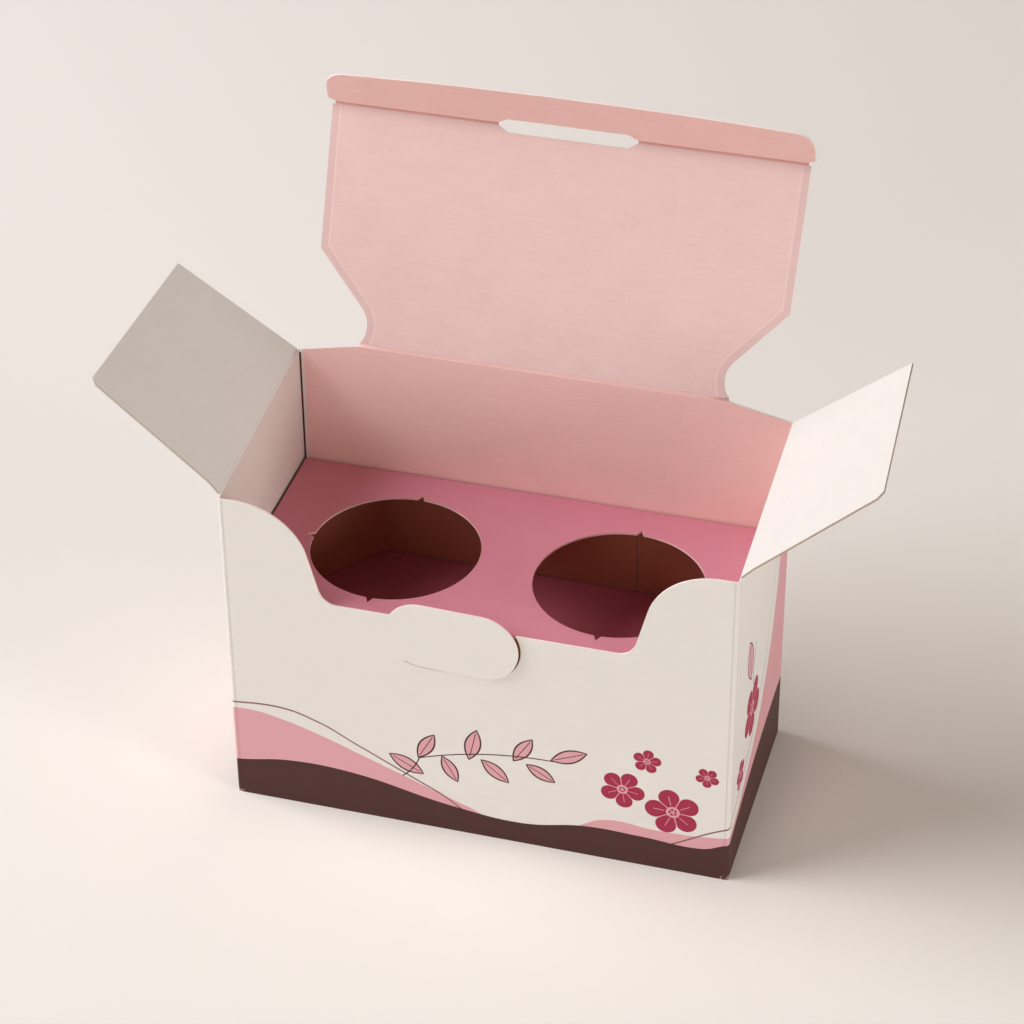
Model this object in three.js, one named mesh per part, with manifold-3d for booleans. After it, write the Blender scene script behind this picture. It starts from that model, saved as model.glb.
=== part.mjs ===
// A folding carton for two cups: a printed carton with a hinged lid, a tuck flap, two dust
// flaps and a cut-down front, holding a two-hole insert above a raised shelf.
// Millimetres, +Z up, front towards -Y. The origin is the middle of the base's underside.

import * as THREE from "three";
import { mergeVertices } from "three/addons/utils/BufferGeometryUtils.js";
import Module from "manifold-3d";

const wasm = await Module();
wasm.setup();

// Board: one thickness for every sheet
const BOARD = 0.7;
const GAP = 0.3; // clearance between neighbouring sheets
const FOLD_RADIUS = 1.0; // outside of a folded edge
const CREASE_SETBACK = 0.6; // bare hinge line on each side of a crease that folds past square
const LID_SETBACK = 0.45; // the same, on the lid's side of the lid's crease

// Carton
const WIDTH = 170;
const DEPTH = 80;
const SHOULDER_HEIGHT = 121.6; // side and front walls at the front corners
const REAR_RISE = 7; // side walls, from the front corners to the rear ones
const CREASE_RISE = 4.8; // rear wall, from its corners to the lid's crease
const CREASE_INSET = 21.8; // outer side to the end of the lid's crease

// Front cut-down: shoulder, swept curve and low edge
const WINDOW_INSET = 33.8; // outer side to the foot of the curve
const CURVE_TOP_INSET = 7; // outer side to the start of the curve
const CURVE_LEAN = 4.8; // how far the steep stretch leans outwards
const CURVE_SHOULDER_DROP = 17; // shoulder to the top of the steep stretch, at most half way
const CURVE_FOOT = 5.5; // size of the rounded inner corner
const SHOULDER_PULL = 12; // how far the level end of the curve reaches in
const LIP = 0.8; // low edge above the insert's top

// Lock tongue, cut out of the front wall and sprung out at its right end
const TONGUE_WIDTH = 45;
const TONGUE_HEIGHT = 24.6;
const TONGUE_OFFSET = -8; // from the middle of the front, towards the left
const TONGUE_RISE = 6; // above the low edge
const TONGUE_KERF = 0.5;
const TONGUE_ROOT = 6.5; // left end to the line it bends about
const TONGUE_SPRING = 2.2; // degrees

// Lid, at its rest angle above the horizontal behind the carton
const LID_ANGLE = 65;
const LID_SIDE_INSET = 4.8; // outer side to the lid's long edge
const LID_EDGE_TAPER = 0.8; // the long edges widen this much towards the front crease
const LID_FRONT_CLEARANCE = 0.65; // front wall's inner face to the front crease, lid closed
const LID_CLOSED_DROP = 10.3; // height that the closed lid loses from rear to front
const LID_NECK_RADIUS = 9.3; // relief cut beside each end of the crease
const LID_NECK_CENTRE = 6.2; // crease to the centre of the relief
const LID_CORNER_REACH = 30.4; // crease to the corner where the edges run straight

// Tuck flap
const TUCK_ANGLE = 44; // fold from the lid's plane at rest
const TUCK_DEPTH = 15.8; // at the middle of its bowed edge
const TUCK_BOW = 2;
const TUCK_CORNER = 8;
const TUCK_SIDE_INSET = 3.5; // outer side to the flap's ends
const TUCK_NICK = 3.2; // slit at each end of the crease
const TUCK_NICK_HEIGHT = 1.3;

// Thumb slot, half in the lid and half in the tuck flap
const SLOT_LENGTH = 49;
const SLOT_HALF_HEIGHT = 2.7;
const SLOT_POINT = 4.5;

// Dust flaps, at their rest angle above the horizontal
const LEFT_FLAP_ANGLE = 36;
const RIGHT_FLAP_ANGLE = 40;
const FLAP_FRONT_LENGTH = 53.5;
const FLAP_REAR_LENGTH = 49;
const FLAP_REAR_CLEARANCE = 0.6;
const FLAP_FRONT_CLEARANCE = 1;
const FLAP_NOTCH = 1.6; // relief at the front end of the crease
const FLAP_NOTCH_HEIGHT = 5;
const FLAP_TAPER = 6.4; // front edge leans back by this much
const FLAP_CLIP = 2.2; // size of the corner cut off at the front

// Insert: platform with two holes, on legs that stand on the shelf
const INSERT_SIDE_PLAY = 1; // side walls to the insert and the shelf
const PLATFORM_HEIGHT = 85.5;
const HOLE_RADIUS = 28.3;
const HOLE_BRIDGE = 19.4; // board between the two holes
const HOLE_FRONT_MARGIN = 7.4; // front edge of the platform to the rim
const NICK_DEPTH = 2.4;
const NICK_WIDTH = 3;
const BRACE_INSET = 27; // side of the insert to where a corner brace meets the rear leg
const BRACE_REACH = 35; // rear leg to where a brace leaves the side leg
const LEG_SLIT = 0.5;
const LEG_SLIT_PLACE = 34; // right of the middle

// Shelf that the cups stand on
const CUP_DEPTH = 34; // platform top to shelf top

// Base and glue tab
const LOCK_HALF_WIDTH = 36;
const LOCK_TAPER = 8;
const LOCK_REACH = 17;
const LOCK_LINE = -3; // where the front and rear base flaps meet
const LOCK_KERF = 0.6;
const SIDE_FLAP_REACH = 38;
const SIDE_FLAP_TAPER = 10;
const GLUE_TAB_WIDTH = 14;
const GLUE_TAB_INSET = 1.2; // tab's top below the rear corner
const GLUE_TAB_TAPER = 5;
const SEAM = 0.7; // left wall to the cut edge of the rear wall

const halfWidth = WIDTH / 2;
const halfDepth = DEPTH / 2;
const rearCornerHeight = SHOULDER_HEIGHT + REAR_RISE;
const lidCreaseHeight = rearCornerHeight + CREASE_RISE;
const innerHalfWidth = halfWidth - BOARD;
const innerHalfDepth = halfDepth - BOARD;
const lowEdge = PLATFORM_HEIGHT + LIP;
const cutDownDepth = SHOULDER_HEIGHT - lowEdge;
const shelfHeight = PLATFORM_HEIGHT - CUP_DEPTH;
const sideSlope = Math.atan2(REAR_RISE, DEPTH);
const aboveWall = BOARD / 2 + GAP; // crease line over the top of the wall that carries it
const CUT_MARGIN = 5; // how far a cutting solid runs past what it cuts
const FOLD_SEGMENTS = 5; // steps in the arc of a folded edge
const CURVE_SEGMENTS = 14; // steps in each arc of a cut outline
const HOLE_SEGMENTS = 32; // steps in half of a cup hole
const rad = THREE.MathUtils.degToRad;

// Solids

function toSolid(geometry) {
  const bare = geometry.index ? geometry.toNonIndexed() : geometry.clone();
  bare.deleteAttribute("normal");
  bare.deleteAttribute("uv");
  const merged = mergeVertices(bare, 1e-5);
  const mesh = new wasm.Mesh({
    numProp: 3,
    vertProperties: new Float32Array(merged.attributes.position.array),
    triVerts: new Uint32Array(merged.index.array),
  });
  return new wasm.Manifold(mesh);
}

function toGeometry(solid) {
  const { vertProperties, triVerts, numProp } = solid.getMesh();
  const positions = new Float32Array((vertProperties.length / numProp) * 3);
  for (let i = 0; i < positions.length / 3; i += 1) {
    positions.set(vertProperties.subarray(i * numProp, i * numProp + 3), i * 3);
  }
  const geometry = new THREE.BufferGeometry();
  geometry.setAttribute("position", new THREE.BufferAttribute(positions, 3));
  geometry.setIndex(new THREE.BufferAttribute(new Uint32Array(triVerts), 1));
  geometry.computeVertexNormals();
  return geometry;
}

function plate(shape, thickness, curveSegments = CURVE_SEGMENTS) {
  return new THREE.ExtrudeGeometry(shape, { depth: thickness, bevelEnabled: false, curveSegments });
}

// A shape drawn in X and Z, from y = near to y = far
function uprightAcross(shape, near, far, curveSegments) {
  return toSolid(plate(shape, far - near, curveSegments).rotateX(Math.PI / 2).translate(0, far, 0));
}

// A shape drawn in Y and Z, from x = left to x = right
function uprightAlong(shape, left, right, curveSegments) {
  const axes = new THREE.Matrix4().makeBasis(
    new THREE.Vector3(0, 1, 0),
    new THREE.Vector3(0, 0, 1),
    new THREE.Vector3(1, 0, 0),
  );
  return toSolid(plate(shape, right - left, curveSegments).applyMatrix4(axes).translate(left, 0, 0));
}

// A shape drawn in X and Y, from z = low to z = high
function flat(shape, low, high, curveSegments) {
  return toSolid(plate(shape, high - low, curveSegments).translate(0, 0, low));
}

function outline(points) {
  return new THREE.Shape(points.map(([x, y]) => new THREE.Vector2(x, y)));
}

function rectangle(x0, y0, x1, y1) {
  return outline([[x0, y0], [x1, y0], [x1, y1], [x0, y1]]);
}

function roundedRectangle(halfX, halfY, radius) {
  const shape = new THREE.Shape();
  shape.absarc(halfX - radius, halfY - radius, radius, 0, Math.PI / 2);
  shape.absarc(radius - halfX, halfY - radius, radius, Math.PI / 2, Math.PI);
  shape.absarc(radius - halfX, radius - halfY, radius, Math.PI, Math.PI * 1.5);
  shape.absarc(halfX - radius, radius - halfY, radius, Math.PI * 1.5, Math.PI * 2);
  shape.closePath();
  return shape;
}

function pill(width, height, centreX, centreY) {
  const radius = height / 2;
  const reach = width / 2 - radius;
  const shape = new THREE.Shape();
  shape.absarc(centreX + reach, centreY, radius, -Math.PI / 2, Math.PI / 2);
  shape.absarc(centreX - reach, centreY, radius, Math.PI / 2, Math.PI * 1.5);
  shape.closePath();
  return shape;
}

// A shape symmetrical about X = 0, from its right half drawn anticlockwise
function mirrored(half, divisions = CURVE_SEGMENTS) {
  const right = half.getPoints(divisions);
  const left = right.filter((point) => point.x > 0).reverse();
  return new THREE.Shape([...right, ...left.map((point) => new THREE.Vector2(-point.x, point.y))]);
}

// A strip folded down at both ends, seen from its end: a top with two legs
function bridgeProfile(halfSpan, top, foot) {
  const inner = FOLD_RADIUS - BOARD;
  const shape = new THREE.Shape();
  shape.moveTo(-halfSpan, foot);
  shape.lineTo(-halfSpan + BOARD, foot);
  shape.lineTo(-halfSpan + BOARD, top - FOLD_RADIUS);
  shape.absarc(-halfSpan + FOLD_RADIUS, top - FOLD_RADIUS, inner, Math.PI, Math.PI / 2, true);
  shape.lineTo(halfSpan - FOLD_RADIUS, top - BOARD);
  shape.absarc(halfSpan - FOLD_RADIUS, top - FOLD_RADIUS, inner, Math.PI / 2, 0, true);
  shape.lineTo(halfSpan - BOARD, foot);
  shape.lineTo(halfSpan, foot);
  shape.lineTo(halfSpan, top - FOLD_RADIUS);
  shape.absarc(halfSpan - FOLD_RADIUS, top - FOLD_RADIUS, FOLD_RADIUS, 0, Math.PI / 2);
  shape.lineTo(-halfSpan + FOLD_RADIUS, top);
  shape.absarc(-halfSpan + FOLD_RADIUS, top - FOLD_RADIUS, FOLD_RADIUS, Math.PI / 2, Math.PI);
  shape.closePath();
  return shape;
}

// Carton body: walls, base and glue tab, one folded sheet

function sideTop(y) {
  return SHOULDER_HEIGHT + (y + halfDepth) * Math.tan(sideSlope);
}

// What is cut from the front wall: everything over the shoulders, the curves and the low edge
function frontCutDown() {
  const start = halfWidth - CURVE_TOP_INSET;
  const foot = new THREE.Vector2(halfWidth - WINDOW_INSET, lowEdge);
  const drop = Math.min(CURVE_SHOULDER_DROP, cutDownDepth / 2);
  const footSize = Math.min(CURVE_FOOT, cutDownDepth / 4);
  const steepTop = new THREE.Vector2(foot.x + CURVE_LEAN, SHOULDER_HEIGHT - drop);
  const steep = steepTop.clone().sub(foot).normalize();
  const steepFoot = foot.clone().addScaledVector(steep, footSize);
  const pull = steepTop.clone().addScaledVector(steep, drop / 2);
  const right = new THREE.Path();
  right.moveTo(0, lowEdge);
  right.lineTo(foot.x - footSize, lowEdge);
  right.quadraticCurveTo(foot.x, foot.y, steepFoot.x, steepFoot.y);
  right.lineTo(steepTop.x, steepTop.y);
  right.bezierCurveTo(
    pull.x, pull.y,
    start - SHOULDER_PULL, SHOULDER_HEIGHT - BOARD,
    start, SHOULDER_HEIGHT,
  );
  right.lineTo(halfWidth + CUT_MARGIN, SHOULDER_HEIGHT);
  right.lineTo(halfWidth + CUT_MARGIN, lidCreaseHeight + CUT_MARGIN);
  return mirrored(right);
}

// What is cut from the rear wall: everything over the lid's crease and the sloping shoulders
function rearCut() {
  const ceiling = lidCreaseHeight + CUT_MARGIN;
  const end = halfWidth - CREASE_INSET;
  const edge = halfWidth + CUT_MARGIN;
  return outline([
    [-edge, ceiling], [-edge, rearCornerHeight], [-halfWidth, rearCornerHeight],
    [-end, lidCreaseHeight], [end, lidCreaseHeight],
    [halfWidth, rearCornerHeight], [edge, rearCornerHeight], [edge, ceiling],
  ]);
}

// What is cut from the side walls: everything over the dust flaps' sloping creases
function sideCut() {
  const ceiling = lidCreaseHeight + CUT_MARGIN;
  return outline([
    [-innerHalfDepth, sideTop(-innerHalfDepth)], [innerHalfDepth, sideTop(innerHalfDepth)],
    [innerHalfDepth, ceiling], [-innerHalfDepth, ceiling],
  ]);
}

function frontBaseFlap(grow) {
  const side = innerHalfWidth - GAP + (grow > 0 ? CUT_MARGIN : 0);
  const line = LOCK_LINE + grow;
  const tip = LOCK_LINE + LOCK_REACH + grow;
  const wide = LOCK_HALF_WIDTH + grow;
  const narrow = LOCK_HALF_WIDTH - LOCK_TAPER + grow;
  return outline([
    [-side, -halfDepth + BOARD / 2], [side, -halfDepth + BOARD / 2], [side, line],
    [wide, line], [narrow, tip], [-narrow, tip], [-wide, line], [-side, line],
  ]);
}

function baseFlaps() {
  const side = innerHalfWidth - GAP;
  const front = flat(frontBaseFlap(0), 0, BOARD);
  const rear = flat(rectangle(-side, -innerHalfDepth, side, halfDepth - BOARD / 2), 0, BOARD)
    .subtract(flat(frontBaseFlap(LOCK_KERF), -CUT_MARGIN, CUT_MARGIN));
  const low = BOARD + GAP;
  let flaps = front.add(rear);
  for (const hand of [-1, 1]) {
    const wall = hand * (halfWidth - BOARD / 2);
    const tip = hand * (innerHalfWidth - SIDE_FLAP_REACH);
    const root = innerHalfDepth - GAP;
    const points = [
      [wall, -root], [wall, root], [tip, root - SIDE_FLAP_TAPER], [tip, SIDE_FLAP_TAPER - root],
    ];
    flaps = flaps.add(flat(outline(points), low, low + BOARD));
  }
  return flaps;
}

// The left wall runs on round its rear corner as a tab, glued behind the rear wall
function glueTab() {
  const sleeve = roundedRectangle(halfWidth, halfDepth + BOARD, FOLD_RADIUS);
  sleeve.holes.push(roundedRectangle(innerHalfWidth, halfDepth, FOLD_RADIUS - BOARD));
  const low = BOARD * 2 + GAP * 2;
  const top = rearCornerHeight - GLUE_TAB_INSET;
  const fold = -innerHalfWidth;
  const tip = GLUE_TAB_WIDTH - halfWidth;
  const edge = -halfWidth - CUT_MARGIN;
  const shape = outline([
    [edge, low], [fold, low], [tip, low + GLUE_TAB_TAPER],
    [tip, top - GLUE_TAB_TAPER], [fold, top], [edge, top],
  ]);
  return flat(sleeve, 0, lidCreaseHeight, FOLD_SEGMENTS)
    .intersect(uprightAcross(shape, innerHalfDepth - BOARD, halfDepth + CUT_MARGIN));
}

// The tongue bends about an upright line near its left end
function lockTongue() {
  const rootX = TONGUE_OFFSET - TONGUE_WIDTH / 2 + TONGUE_ROOT;
  const centreZ = lowEdge + TONGUE_RISE - TONGUE_HEIGHT / 2;
  const middleY = -halfDepth + BOARD / 2;
  const full = pill(TONGUE_WIDTH, TONGUE_HEIGHT, TONGUE_OFFSET, centreZ);
  const kerf = pill(
    TONGUE_WIDTH + 2 * TONGUE_KERF, TONGUE_HEIGHT + 2 * TONGUE_KERF, TONGUE_OFFSET, centreZ,
  );
  const rightOf = (x) => uprightAcross(
    rectangle(x, 0, halfWidth, SHOULDER_HEIGHT), -halfDepth - CUT_MARGIN, 0,
  );
  const body = uprightAcross(full, -halfDepth, -innerHalfDepth);
  const sprung = body.intersect(rightOf(rootX - BOARD / 2))
    .translate(-rootX, -middleY, 0)
    .rotate([0, 0, -TONGUE_SPRING])
    .translate(rootX, middleY, 0);
  const window = uprightAcross(kerf, -halfDepth - CUT_MARGIN, CUT_MARGIN - innerHalfDepth)
    .intersect(rightOf(rootX));
  return { root: body.subtract(rightOf(rootX)), sprung, window };
}

function cartonBody() {
  const ring = roundedRectangle(halfWidth, halfDepth, FOLD_RADIUS);
  ring.holes.push(roundedRectangle(innerHalfWidth, innerHalfDepth, FOLD_RADIUS - BOARD));
  const tongue = lockTongue();
  const seam = flat(
    rectangle(
      -innerHalfWidth, innerHalfDepth - FOLD_RADIUS, SEAM - innerHalfWidth, halfDepth + CUT_MARGIN,
    ),
    -CUT_MARGIN, lidCreaseHeight,
  );
  return flat(ring, 0, lidCreaseHeight, FOLD_SEGMENTS)
    .subtract(uprightAcross(frontCutDown(), -halfDepth - CUT_MARGIN, -innerHalfDepth))
    .subtract(uprightAcross(rearCut(), innerHalfDepth, halfDepth + CUT_MARGIN))
    .subtract(uprightAlong(sideCut(), -halfWidth - CUT_MARGIN, halfWidth + CUT_MARGIN))
    .subtract(tongue.window)
    .subtract(seam)
    .add(tongue.root)
    .add(tongue.sprung)
    .add(baseFlaps())
    .add(glueTab());
}

// Lid and tuck flap, drawn flat with the crease along X

const lidAxis = new THREE.Vector3(0, halfDepth - BOARD / 2, lidCreaseHeight + aboveWall);
const lidRun = lidAxis.y + innerHalfDepth - LID_FRONT_CLEARANCE;
const lidLength = Math.hypot(lidRun, LID_CLOSED_DROP);

function slotOutline(direction) {
  const half = SLOT_LENGTH / 2;
  const shoulder = half - SLOT_POINT;
  const past = -direction * CUT_MARGIN;
  const depth = direction * SLOT_HALF_HEIGHT;
  const points = [
    [-half, past], [-half, 0], [-shoulder, depth], [shoulder, depth], [half, 0], [half, past],
  ];
  return outline(points);
}

function lidShape() {
  const end = halfWidth - CREASE_INSET;
  const edge = halfWidth - LID_SIDE_INSET;
  const rear = edge - LID_EDGE_TAPER;
  const neckX = end + Math.sqrt(LID_NECK_RADIUS ** 2 - LID_NECK_CENTRE ** 2);
  const corner = new THREE.Vector2(rear, LID_CORNER_REACH);
  const centre = new THREE.Vector2(neckX, LID_NECK_CENTRE);
  // Where the straight diagonal from the corner touches the relief's circle
  const toCorner = corner.clone().sub(centre);
  const turn = Math.acos(LID_NECK_RADIUS / toCorner.length());
  const touch = toCorner.angle() + turn;
  const drop = LID_NECK_CENTRE - LID_SETBACK;
  const start = Math.atan2(-drop, -Math.sqrt(LID_NECK_RADIUS ** 2 - drop ** 2));
  const right = new THREE.Path();
  right.absarc(neckX, LID_NECK_CENTRE, LID_NECK_RADIUS, start, touch, true);
  right.lineTo(rear, LID_CORNER_REACH);
  right.lineTo(edge, lidLength - CREASE_SETBACK);
  return mirrored(right);
}

function lidPanel() {
  const slot = flat(slotOutline(-1), -BOARD, BOARD).translate(0, lidLength, 0);
  return flat(lidShape(), -BOARD / 2, BOARD / 2).subtract(slot);
}

function tuckFlap() {
  const end = halfWidth - TUCK_SIDE_INSET;
  const sideDepth = TUCK_DEPTH - TUCK_BOW;
  const right = new THREE.Path();
  right.moveTo(end - TUCK_NICK, CREASE_SETBACK);
  right.lineTo(end, CREASE_SETBACK + TUCK_NICK_HEIGHT);
  right.lineTo(end, sideDepth - TUCK_CORNER);
  right.quadraticCurveTo(end, sideDepth, end - TUCK_CORNER, sideDepth);
  right.quadraticCurveTo(end / 2, TUCK_DEPTH, 0, TUCK_DEPTH);
  return flat(mirrored(right), -BOARD / 2, BOARD / 2).subtract(flat(slotOutline(1), -BOARD, BOARD));
}

// Dust flap, drawn flat: crease along Y from the front corner, reaching out along X

function dustFlap(hand) {
  const creaseLength = Math.hypot(DEPTH, REAR_RISE);
  const rear = creaseLength - BOARD - FLAP_REAR_CLEARANCE;
  const front = BOARD + FLAP_FRONT_CLEARANCE;
  const notch = front + FLAP_NOTCH;
  const clipStart = FLAP_FRONT_LENGTH - FLAP_CLIP;
  const points = [
    [GAP, front], [FLAP_NOTCH_HEIGHT, notch], [clipStart, notch + FLAP_TAPER],
    [FLAP_FRONT_LENGTH, notch + FLAP_TAPER + FLAP_CLIP], [FLAP_REAR_LENGTH, rear], [GAP, rear],
  ];
  return flat(outline(points.map(([x, y]) => [hand * x, y])), -BOARD / 2, BOARD / 2);
}

// Insert and shelf

const insertHalfWidth = innerHalfWidth - INSERT_SIDE_PLAY;
const insertHalfDepth = innerHalfDepth - GAP;
const insertFoot = shelfHeight + GAP;
const shelfFoot = 2 * BOARD + 2 * GAP;

function cupHole(hand) {
  const x = hand * (HOLE_BRIDGE / 2 + HOLE_RADIUS);
  const y = -insertHalfDepth + HOLE_FRONT_MARGIN + HOLE_RADIUS;
  const bottom = PLATFORM_HEIGHT - 2 * BOARD;
  const top = PLATFORM_HEIGHT + CUT_MARGIN;
  const circle = new THREE.Shape();
  circle.absarc(0, 0, HOLE_RADIUS, 0, Math.PI * 2);
  const base = HOLE_RADIUS - BOARD;
  const tip = HOLE_RADIUS + NICK_DEPTH;
  const nick = flat(
    outline([[base, -NICK_WIDTH / 2], [tip, 0], [base, NICK_WIDTH / 2]]), bottom, top,
  );
  const outward = hand > 0 ? 0 : 180;
  let hole = flat(circle, bottom, top, HOLE_SEGMENTS);
  for (const turn of [90, outward, 270]) {
    hole = hole.add(nick.rotate([0, 0, turn]));
  }
  return hole.translate(x, y, 0);
}

// A side leg with a brace that turns in across the rear corner
function sideLeg(hand, foot, top, braceTop) {
  const start = insertHalfDepth - BRACE_REACH;
  const rear = insertHalfDepth - BOARD / 2;
  const leg = flat(
    rectangle(insertHalfWidth - BOARD, BOARD / 2 - insertHalfDepth, insertHalfWidth, start), foot, top,
  );
  const run = new THREE.Vector2(-BRACE_INSET, BRACE_REACH);
  const brace = flat(rectangle(-BOARD, 0, run.length(), BOARD), foot, braceTop)
    .rotate([0, 0, THREE.MathUtils.radToDeg(run.angle())])
    .translate(insertHalfWidth, start, 0)
    .intersect(flat(rectangle(0, -rear, insertHalfWidth, rear), foot, top));
  const pair = leg.add(brace);
  return hand > 0 ? pair : pair.mirror([1, 0, 0]);
}

function insertPlatform() {
  const profile = bridgeProfile(insertHalfDepth, PLATFORM_HEIGHT, insertFoot);
  const slit = flat(
    rectangle(LEG_SLIT_PLACE - LEG_SLIT / 2, 0, LEG_SLIT_PLACE + LEG_SLIT / 2, halfDepth),
    insertFoot - CUT_MARGIN, PLATFORM_HEIGHT - FOLD_RADIUS,
  );
  const middle = PLATFORM_HEIGHT - BOARD / 2;
  return uprightAlong(profile, -insertHalfWidth, insertHalfWidth, FOLD_SEGMENTS)
    .add(sideLeg(1, insertFoot, middle, middle - BOARD / 2 - GAP))
    .add(sideLeg(-1, insertFoot, middle, middle - BOARD / 2 - GAP))
    .subtract(slit)
    .subtract(cupHole(-1))
    .subtract(cupHole(1));
}

function cupShelf() {
  const profile = bridgeProfile(insertHalfDepth, shelfHeight, shelfFoot);
  const middle = shelfHeight - BOARD / 2;
  const legDepth = insertHalfDepth - BOARD - GAP;
  const leg = flat(
    rectangle(insertHalfWidth - BOARD, -legDepth, insertHalfWidth, legDepth), shelfFoot, middle,
  );
  return uprightAlong(profile, -insertHalfWidth, insertHalfWidth, FOLD_SEGMENTS)
    .add(leg)
    .add(leg.mirror([1, 0, 0]));
}

// Finishes

const whiteBoard = new THREE.MeshStandardMaterial({ color: 0xe6ddd4, roughness: 0.72, metalness: 0 });
const pinkBoard = new THREE.MeshStandardMaterial({ color: 0xe3bfb8, roughness: 0.75, metalness: 0 });
const insertBoard = new THREE.MeshStandardMaterial({ color: 0xcc7e8b, roughness: 0.75, metalness: 0 });

function piece(name, solid, material) {
  const mesh = new THREE.Mesh(toGeometry(solid), material);
  mesh.name = name;
  return mesh;
}

// Assembly

const carton = new THREE.Group();
carton.add(piece("carton_body", cartonBody(), whiteBoard));
carton.add(piece("insert_platform", insertPlatform(), insertBoard));
carton.add(piece("cup_shelf", cupShelf(), insertBoard));

const lid = new THREE.Group();
lid.position.copy(lidAxis);
lid.rotation.x = rad(LID_ANGLE);
lid.add(piece("lid_panel", lidPanel(), pinkBoard));
carton.add(lid);

const tuck = new THREE.Group();
tuck.position.set(0, lidLength, 0);
tuck.rotation.x = rad(TUCK_ANGLE);
tuck.add(piece("tuck_flap", tuckFlap(), pinkBoard));
lid.add(tuck);

const dustFlaps = [
  { name: "left_dust_flap", hand: -1, angle: LEFT_FLAP_ANGLE },
  { name: "right_dust_flap", hand: 1, angle: RIGHT_FLAP_ANGLE },
];
for (const { name, hand, angle } of dustFlaps) {
  const hinge = new THREE.Group();
  hinge.position.set(hand * (halfWidth - BOARD / 2), -halfDepth, SHOULDER_HEIGHT + aboveWall);
  hinge.rotation.set(sideSlope, -hand * rad(angle), 0);
  hinge.add(piece(name, dustFlap(hand), whiteBoard));
  carton.add(hinge);
}

export default carton;
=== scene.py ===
# %% [markdown]
# # A two-cup carton
#
# The object is a small folding carton: a printed box with its lid open, two dust flaps
# spread out, a cut-down front with a lock tongue, and inside it an insert with two round
# holes above a raised shelf. All of it is board 0.7 mm thick, with a white back for the
# box and a kraft back for the insert.
#
# The CAD model already holds every sheet at its real size. This script gives each sheet
# softened edges, its two different faces, its print and its creases.

import math

import bmesh
import bpy
from mathutils import Matrix, Vector


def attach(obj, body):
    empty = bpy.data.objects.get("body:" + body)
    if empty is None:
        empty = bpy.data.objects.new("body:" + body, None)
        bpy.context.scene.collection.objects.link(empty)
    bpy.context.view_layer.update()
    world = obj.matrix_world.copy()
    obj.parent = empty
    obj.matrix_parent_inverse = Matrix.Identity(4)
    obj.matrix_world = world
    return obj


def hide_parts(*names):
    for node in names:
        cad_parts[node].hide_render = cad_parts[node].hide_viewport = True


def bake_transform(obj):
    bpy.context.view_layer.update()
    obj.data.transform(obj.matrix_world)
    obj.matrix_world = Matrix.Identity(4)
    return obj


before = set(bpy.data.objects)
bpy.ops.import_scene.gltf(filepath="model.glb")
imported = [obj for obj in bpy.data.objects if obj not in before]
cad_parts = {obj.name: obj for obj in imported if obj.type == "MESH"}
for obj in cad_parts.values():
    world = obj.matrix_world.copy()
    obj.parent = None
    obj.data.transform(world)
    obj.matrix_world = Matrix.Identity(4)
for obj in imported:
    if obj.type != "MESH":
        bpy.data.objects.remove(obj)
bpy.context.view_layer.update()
print("sheets in the frame:", sorted(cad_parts))

# %% [markdown]
# ## Sizes
#
# A carton is drawn flat before it is folded, so nearly every shape here follows from the
# board's thickness, the outline of the box and the lines that the sheets fold about.
# They are written once, in metres, and every later cell reads them.

# %% Sizes in metres
MM = 0.001
BOARD = 0.7 * MM
HALF_WIDTH = 85 * MM
HALF_DEPTH = 40 * MM
SHOULDER_HEIGHT = 121.6 * MM
REAR_CORNER_HEIGHT = 128.6 * MM
LID_CREASE_HEIGHT = 133.4 * MM
LID_CREASE_HALF = 63.2 * MM
CREASE_LIFT = 0.65 * MM  # crease line above the wall that carries it
LID_ANGLE = math.radians(65)
TUCK_ANGLE = math.radians(44)
LID_LENGTH = 78.975 * MM
SLOT_HALF = 24.5 * MM
FLAP_ANGLES = {"left": math.radians(36), "right": math.radians(40)}
SIDE_SLOPE = math.atan2(REAR_CORNER_HEIGHT - SHOULDER_HEIGHT, 2 * HALF_DEPTH)
RIM_SOFTNESS = 0.1 * MM  # rounding of a die-cut edge
NEAR = 0.06 * MM  # two places closer than this count as one
FACING = 0.9  # a face looks along a direction when its normal has this much of it
print("box", 2 * HALF_WIDTH, "by", 2 * HALF_DEPTH, "m, lid crease at", LID_CREASE_HEIGHT)

# %% [markdown]
# ## Numbers in a material
#
# Print on a carton is a few flat inks inside clean outlines. An outline can be a picture
# wrapped round the box, or a sum that says for each point of the sheet whether ink lies
# there. The sum stays sharp at any distance, so this helper lets a material do
# arithmetic in plain Python: each operation adds one Math node.

# %% Arithmetic with Math nodes
class Amount:
    """A number that a material works out at every point of a surface."""

    def __init__(self, tree, socket):
        self.tree = tree
        self.socket = socket

    def math(self, operation, *others):
        node = self.tree.nodes.new("ShaderNodeMath")
        node.operation = operation
        for place, value in enumerate((self, *others)):
            if isinstance(value, Amount):
                self.tree.links.new(value.socket, node.inputs[place])
            else:
                node.inputs[place].default_value = value
        return Amount(self.tree, node.outputs[0])

    def __add__(self, other):
        return self.math("ADD", other)

    def __sub__(self, other):
        return self.math("SUBTRACT", other)

    def __mul__(self, other):
        return self.math("MULTIPLY", other)

    def __truediv__(self, other):
        return self.math("DIVIDE", other)

    def size(self):
        return self.math("ABSOLUTE")

    def below(self, other):
        return self.math("LESS_THAN", other)

    def larger(self, other):
        return self.math("MAXIMUM", other)

    def smaller(self, other):
        return self.math("MINIMUM", other)


def union(masks):
    whole = masks[0]
    for mask in masks[1:]:
        whole = whole.larger(mask)
    return whole


# %% [markdown]
# ## Colours
#
# Colours are picked as screen values from 0 to 255 and turned into the linear values
# that light works with.

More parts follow.
